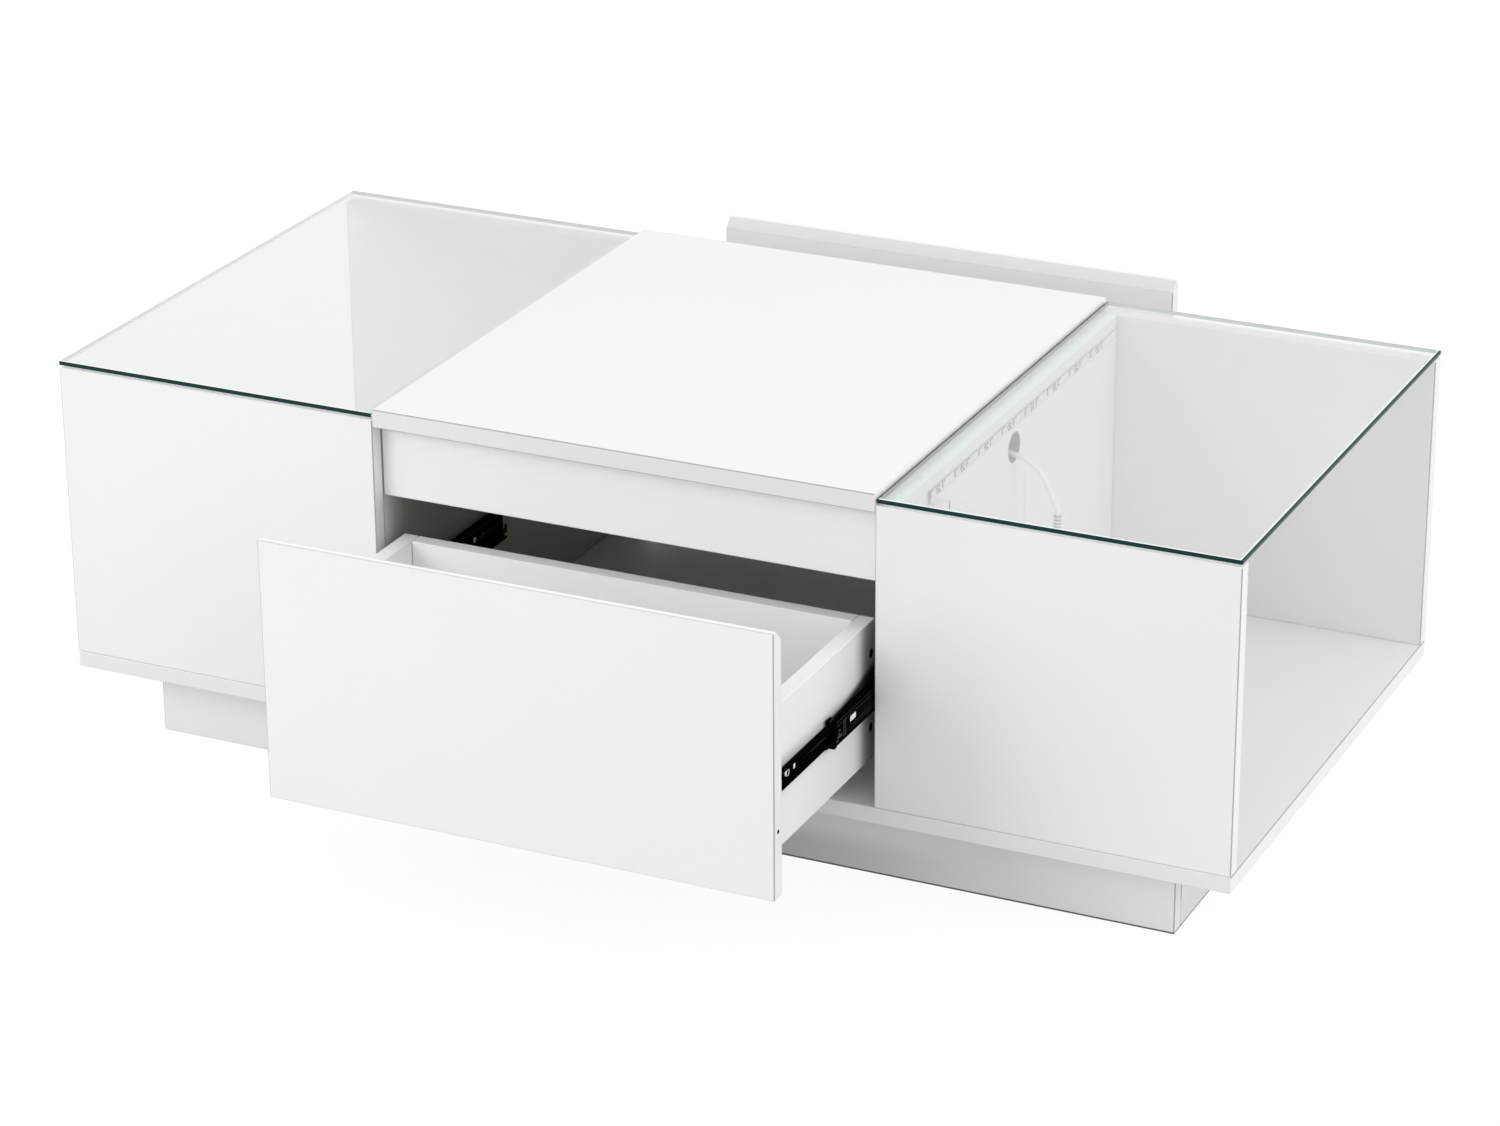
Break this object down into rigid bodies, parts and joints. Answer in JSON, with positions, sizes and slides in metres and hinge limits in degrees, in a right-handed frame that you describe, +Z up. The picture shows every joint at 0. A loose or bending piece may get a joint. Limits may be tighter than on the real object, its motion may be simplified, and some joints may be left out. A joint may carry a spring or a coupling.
{
  "type": "led coffee table",
  "caption": "Low rectangular coffee table on a recessed plinth, with a lit glass-topped cubby at each end and a handleless drawer on ball-bearing slides in each long side.",
  "frame": {"origin": "on the floor under the middle of the table, both drawers pulled out as in the picture", "axes": "+X along the table's length, +Y towards the rear drawer, +Z up"},
  "size_m": [1.2, 0.997, 0.4],
  "materials": {
    "white_lacquer": "white high-gloss lacquer on board",
    "drawer_white": "white satin melamine on board",
    "clear_glass": "clear float glass with polished edges",
    "clear_silicone": "clear silicone",
    "black_steel": "black coated steel",
    "bright_steel": "bare rolled steel",
    "white_plastic": "white moulded plastic",
    "strip_silicone": "milky silicone sleeve"
  },
  "bodies": {
    "cabinet": {"bottom_panel": "white_lacquer", "plinth_front": "white_lacquer", "plinth_rear": "white_lacquer", "plinth_left": "white_lacquer", "plinth_right": "white_lacquer", "front_panel_left": "white_lacquer", "front_panel_right": "white_lacquer", "rear_panel_left": "white_lacquer", "rear_panel_right": "white_lacquer", "partition_left": "white_lacquer", "partition_right": "white_lacquer", "centre_top": "white_lacquer", "front_rail": "white_lacquer", "rear_rail": "white_lacquer", "glass_top_left": "clear_glass", "glass_bumper_left_1": "clear_silicone", "glass_bumper_left_2": "clear_silicone", "glass_bumper_left_3": "clear_silicone", "glass_bumper_left_4": "clear_silicone", "led_strip_left": "strip_silicone", "glass_top_right": "clear_glass", "glass_bumper_right_1": "clear_silicone", "glass_bumper_right_2": "clear_silicone", "glass_bumper_right_3": "clear_silicone", "glass_bumper_right_4": "clear_silicone", "led_strip_right": "strip_silicone", "led_controller": "white_plastic", "led_driver": "white_plastic", "led_lead": "white_plastic", "led_lead_connector": "white_plastic", "front_left_slide_cabinet_member": "black_steel", "front_right_slide_cabinet_member": "black_steel", "rear_left_slide_cabinet_member": "black_steel", "rear_right_slide_cabinet_member": "black_steel"},
    "front_drawer": {"front_drawer_face": "white_lacquer", "front_drawer_side_left": "drawer_white", "front_drawer_side_right": "drawer_white", "front_drawer_back": "drawer_white", "front_drawer_bottom": "drawer_white", "front_left_slide_drawer_member": "black_steel", "front_right_slide_drawer_member": "black_steel"},
    "front_slide_middles": {"front_left_slide_middle_member": "black_steel", "front_right_slide_middle_member": "black_steel"},
    "front_outer_balls": {"front_left_slide_outer_balls": "bright_steel", "front_right_slide_outer_balls": "bright_steel"},
    "front_inner_balls": {"front_left_slide_inner_balls": "bright_steel", "front_right_slide_inner_balls": "bright_steel"},
    "rear_drawer": {"rear_drawer_face": "white_lacquer", "rear_drawer_side_left": "drawer_white", "rear_drawer_side_right": "drawer_white", "rear_drawer_back": "drawer_white", "rear_drawer_bottom": "drawer_white", "rear_left_slide_drawer_member": "black_steel", "rear_right_slide_drawer_member": "black_steel"},
    "rear_slide_middles": {"rear_left_slide_middle_member": "black_steel", "rear_right_slide_middle_member": "black_steel"},
    "rear_outer_balls": {"rear_left_slide_outer_balls": "bright_steel", "rear_right_slide_outer_balls": "bright_steel"},
    "rear_inner_balls": {"rear_left_slide_inner_balls": "bright_steel", "rear_right_slide_inner_balls": "bright_steel"}
  },
  "joints": [
    {"name": "front_drawer_slide", "type": "slide", "parent": "cabinet", "child": "front_drawer", "axis": [0, -1, 0], "range_m": [-0.2135, 0.0165]},
    {"name": "front_slide_middles_slide", "type": "slide", "parent": "cabinet", "child": "front_slide_middles", "axis": [0, -1, 0], "range_m": [-0.1068, 0.0083]},
    {"name": "front_outer_balls_slide", "type": "slide", "parent": "cabinet", "child": "front_outer_balls", "axis": [0, -1, 0], "range_m": [-0.0534, 0.0042]},
    {"name": "front_inner_balls_slide", "type": "slide", "parent": "cabinet", "child": "front_inner_balls", "axis": [0, -1, 0], "range_m": [-0.1602, 0.0124]},
    {"name": "rear_drawer_slide", "type": "slide", "parent": "cabinet", "child": "rear_drawer", "axis": [0, 1, 0], "range_m": [-0.2135, 0.0165]},
    {"name": "rear_slide_middles_slide", "type": "slide", "parent": "cabinet", "child": "rear_slide_middles", "axis": [0, 1, 0], "range_m": [-0.1068, 0.0083]},
    {"name": "rear_outer_balls_slide", "type": "slide", "parent": "cabinet", "child": "rear_outer_balls", "axis": [0, 1, 0], "range_m": [-0.0534, 0.0042]},
    {"name": "rear_inner_balls_slide", "type": "slide", "parent": "cabinet", "child": "rear_inner_balls", "axis": [0, 1, 0], "range_m": [-0.1602, 0.0124]}
  ],
  "couplings": [
    {"joint": "front_slide_middles_slide", "follows": "front_drawer_slide", "ratio": 0.5},
    {"joint": "front_outer_balls_slide", "follows": "front_drawer_slide", "ratio": 0.25},
    {"joint": "front_inner_balls_slide", "follows": "front_drawer_slide", "ratio": 0.75},
    {"joint": "rear_slide_middles_slide", "follows": "rear_drawer_slide", "ratio": 0.5},
    {"joint": "rear_outer_balls_slide", "follows": "rear_drawer_slide", "ratio": 0.25},
    {"joint": "rear_inner_balls_slide", "follows": "rear_drawer_slide", "ratio": 0.75}
  ]
}
